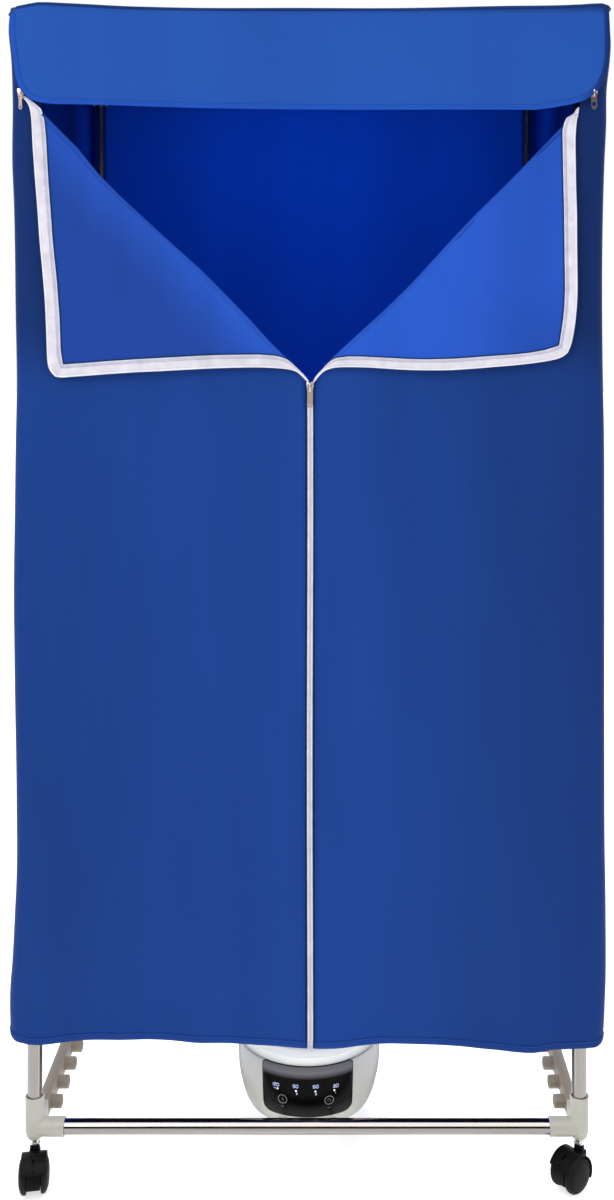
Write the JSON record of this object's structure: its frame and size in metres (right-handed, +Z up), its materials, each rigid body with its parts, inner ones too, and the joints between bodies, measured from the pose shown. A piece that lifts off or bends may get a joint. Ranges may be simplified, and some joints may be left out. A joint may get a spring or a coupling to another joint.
{
  "type": "portable clothes dryer",
  "caption": "Portable clothes dryer: tube frame on twin-wheel casters, zipped fabric cover with folded-back door corners, and a blower heater with a touch panel below",
  "frame": {"origin": "on the floor, at the middle of the footprint", "axes": "+Z up, front faces -Y, +X to the right seen from the front"},
  "size_m": [0.7444, 0.5213, 1.4867],
  "materials": {
    "stainless": "polished tube",
    "connector": "moulded, satin",
    "rail": "moulded, satin",
    "stem": "bright",
    "caster_black": "moulded, satin",
    "wheel_black": "moulded, satin",
    "housing": "smooth",
    "panel": "mirror gloss",
    "grille": "moulded",
    "motor": "satin",
    "impeller": "moulded",
    "ptc": "finned block",
    "board": "circuit board",
    "gland": "moulded",
    "cloth": "coated polyester, plain weave",
    "cloth_light": "coated polyester, plain weave",
    "zip_metal": "worn plating"
  },
  "bodies": {
    "frame": {"connector_bottom_front_left": "connector", "connector_top_front_left": "connector", "post_front_left": "stainless", "connector_bottom_front_right": "connector", "connector_top_front_right": "connector", "post_front_right": "stainless", "connector_bottom_rear_left": "connector", "connector_top_rear_left": "connector", "post_rear_left": "stainless", "connector_bottom_rear_right": "connector", "connector_top_rear_right": "connector", "post_rear_right": "stainless", "bottom_tube_front": "stainless", "bottom_tube_rear": "stainless", "top_tube_front": "stainless", "top_tube_rear": "stainless", "peg_rail_bottom_left": "rail", "peg_rail_bottom_right": "rail", "peg_rail_top_left": "rail", "peg_rail_top_right": "rail", "hanging_rod_front": "stainless", "hanging_rod_rear": "stainless", "heater_cradle_left": "stainless", "heater_cradle_right": "stainless", "heater_base_shell": "housing", "heater_top_shell": "housing", "control_panel": "panel", "outlet_grille": "grille", "fan_motor": "motor", "ptc_heater": "ptc", "control_board": "board", "cord_gland": "gland", "cover_back": "cloth", "cover_left": "cloth", "cover_right": "cloth", "cover_top": "cloth", "cover_header": "cloth_light", "cover_front_left": "cloth", "cover_front_right": "cloth"},
    "caster_front_left": {"caster_stem_front_left": "stem", "caster_hood_front_left": "caster_black"},
    "wheels_front_left": {"caster_wheels_front_left": "wheel_black"},
    "caster_front_right": {"caster_stem_front_right": "stem", "caster_hood_front_right": "caster_black"},
    "wheels_front_right": {"caster_wheels_front_right": "wheel_black"},
    "caster_rear_left": {"caster_stem_rear_left": "stem", "caster_hood_rear_left": "caster_black"},
    "wheels_rear_left": {"caster_wheels_rear_left": "wheel_black"},
    "caster_rear_right": {"caster_stem_rear_right": "stem", "caster_hood_rear_right": "caster_black"},
    "wheels_rear_right": {"caster_wheels_rear_right": "wheel_black"},
    "fan": {"fan_impeller": "impeller"},
    "flap_left": {"door_flap_left": "cloth_light"},
    "flap_right": {"door_flap_right": "cloth_light"},
    "slider_centre": {"zip_slider_centre": "zip_metal"},
    "tab_centre": {"pull_tab_centre": "zip_metal"},
    "slider_left": {"zip_slider_left": "zip_metal"},
    "tab_left": {"pull_tab_left": "zip_metal"},
    "slider_right": {"zip_slider_right": "zip_metal"},
    "tab_right": {"pull_tab_right": "zip_metal"}
  },
  "joints": [
    {"name": "swivel_front_left", "type": "hinge", "parent": "frame", "child": "caster_front_left", "pos_m": [-0.3445, -0.22, 0.05], "axis": [0, 0, 1], "continuous": true},
    {"name": "roll_front_left", "type": "hinge", "parent": "caster_front_left", "child": "wheels_front_left", "pos_m": [-0.34155, -0.23674, 0.022], "axis": [0.9848, 0.1736, 0], "continuous": true},
    {"name": "swivel_front_right", "type": "hinge", "parent": "frame", "child": "caster_front_right", "pos_m": [0.3445, -0.22, 0.05], "axis": [0, 0, 1], "continuous": true},
    {"name": "roll_front_right", "type": "hinge", "parent": "caster_front_right", "child": "wheels_front_right", "pos_m": [0.33129, -0.2307, 0.022], "axis": [0.6293, -0.7771, 0], "continuous": true},
    {"name": "swivel_rear_left", "type": "hinge", "parent": "frame", "child": "caster_rear_left", "pos_m": [-0.3445, 0.22, 0.05], "axis": [0, 0, 1], "continuous": true},
    {"name": "roll_rear_left", "type": "hinge", "parent": "caster_rear_left", "child": "wheels_rear_left", "pos_m": [-0.3445, 0.237, 0.022], "axis": [-1, 0, 0], "continuous": true},
    {"name": "swivel_rear_right", "type": "hinge", "parent": "frame", "child": "caster_rear_right", "pos_m": [0.3445, 0.22, 0.05], "axis": [0, 0, 1], "continuous": true},
    {"name": "roll_rear_right", "type": "hinge", "parent": "caster_rear_right", "child": "wheels_rear_right", "pos_m": [0.33248, 0.23202, 0.022], "axis": [-0.7071, -0.7071, 0], "continuous": true},
    {"name": "fan_spin", "type": "hinge", "parent": "frame", "child": "fan", "pos_m": [0, -0.105, 0.0925], "axis": [0, 0, 1], "continuous": true},
    {"name": "fold_left", "type": "hinge", "parent": "frame", "child": "flap_left", "pos_m": [0.0034, -0.2413, 1.017], "axis": [-0.7115, 0, 0.7027], "range_deg": [0, 180]},
    {"name": "fold_right", "type": "hinge", "parent": "frame", "child": "flap_right", "pos_m": [0.005, -0.2413, 1.017], "axis": [-0.7115, 0, -0.7027], "range_deg": [0, 180]},
    {"name": "zip_centre", "type": "slide", "parent": "frame", "child": "slider_centre", "axis": [0, 0, 1], "range_m": [-0.815, 0.322]},
    {"name": "tab_centre", "type": "hinge", "parent": "slider_centre", "child": "tab_centre", "pos_m": [0.0042, -0.24345, 1.008], "axis": [-1, 0, 0], "range_deg": [0, 160]},
    {"name": "zip_left", "type": "slide", "parent": "frame", "child": "slider_left", "axis": [0.9975, 0, -0.0702], "range_m": [0, 0.3489]},
    {"name": "tab_left", "type": "hinge", "parent": "slider_left", "child": "tab_left", "pos_m": [-0.356, -0.24725, 1.374], "axis": [-1, 0, 0], "range_deg": [0, 160]},
    {"name": "zip_right", "type": "slide", "parent": "frame", "child": "slider_right", "axis": [-0.9974, 0, -0.0715], "range_m": [0, 0.3425]},
    {"name": "tab_right", "type": "hinge", "parent": "slider_right", "child": "tab_right", "pos_m": [0.358, -0.24725, 1.374], "axis": [-1, 0, 0], "range_deg": [0, 160]}
  ]
}
